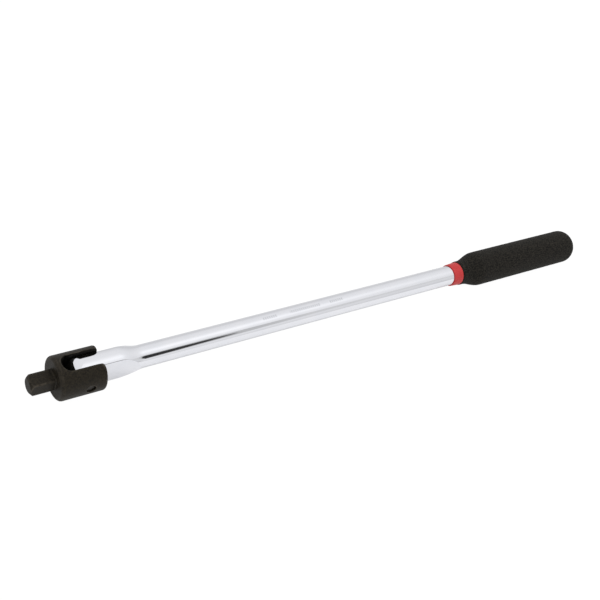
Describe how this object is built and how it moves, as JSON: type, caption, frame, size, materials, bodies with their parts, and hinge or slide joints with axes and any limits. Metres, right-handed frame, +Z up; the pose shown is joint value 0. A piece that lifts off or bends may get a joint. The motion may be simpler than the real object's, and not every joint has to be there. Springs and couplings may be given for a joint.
{
  "type": "breaker bar",
  "caption": "Long chromed lever with a flat tongue pinned in a swivelling black fork head that ends in a half-inch drive square, and a closed foam grip behind a red ring.",
  "frame": {"origin": "centre of the drive square's end face", "axes": "+X along the tool from the drive square to the grip, +Y along the hinge pin, +Z up, at right angles to the pin"},
  "size_m": [0.6, 0.036, 0.036],
  "materials": {
    "phosphated_steel": "black manganese phosphate, oiled, satin",
    "pin_steel": "blackened steel with cut ends",
    "ball_steel": "ground and polished",
    "spring_steel": "drawn wire, oiled",
    "chrome_plate": "bright polished chrome plate",
    "ring_plastic": "red, semi-gloss",
    "grip_foam": "black closed-cell rubber foam, matt skin"
  },
  "bodies": {
    "handle": {"lever_bar": "chrome_plate", "plunger_spring": "spring_steel", "grip_ring": "ring_plastic", "foam_grip": "grip_foam"},
    "head": {"drive_head": "phosphated_steel", "hinge_pin": "pin_steel", "socket_ball_spring": "spring_steel"},
    "socket_ball": {"socket_ball": "ball_steel"},
    "friction_plunger": {"friction_plunger": "ball_steel"}
  },
  "joints": [
    {"name": "head_swivel", "type": "hinge", "parent": "handle", "child": "head", "pos_m": [0.0442, 0, 0], "axis": [0, 1, 0], "range_deg": [-90, 90]},
    {"name": "socket_ball_press", "type": "slide", "parent": "head", "child": "socket_ball", "axis": [0, 0, 1], "range_m": [0, 0.0013], "stiffness_N_per_m": 2000, "springref_m": -0.001, "deforming": ["socket_ball_spring"]},
    {"name": "plunger_press", "type": "slide", "parent": "handle", "child": "friction_plunger", "axis": [1, 0, 0], "range_m": [0, 0.0015], "stiffness_N_per_m": 3000, "springref_m": -0.001, "deforming": ["plunger_spring"]}
  ]
}
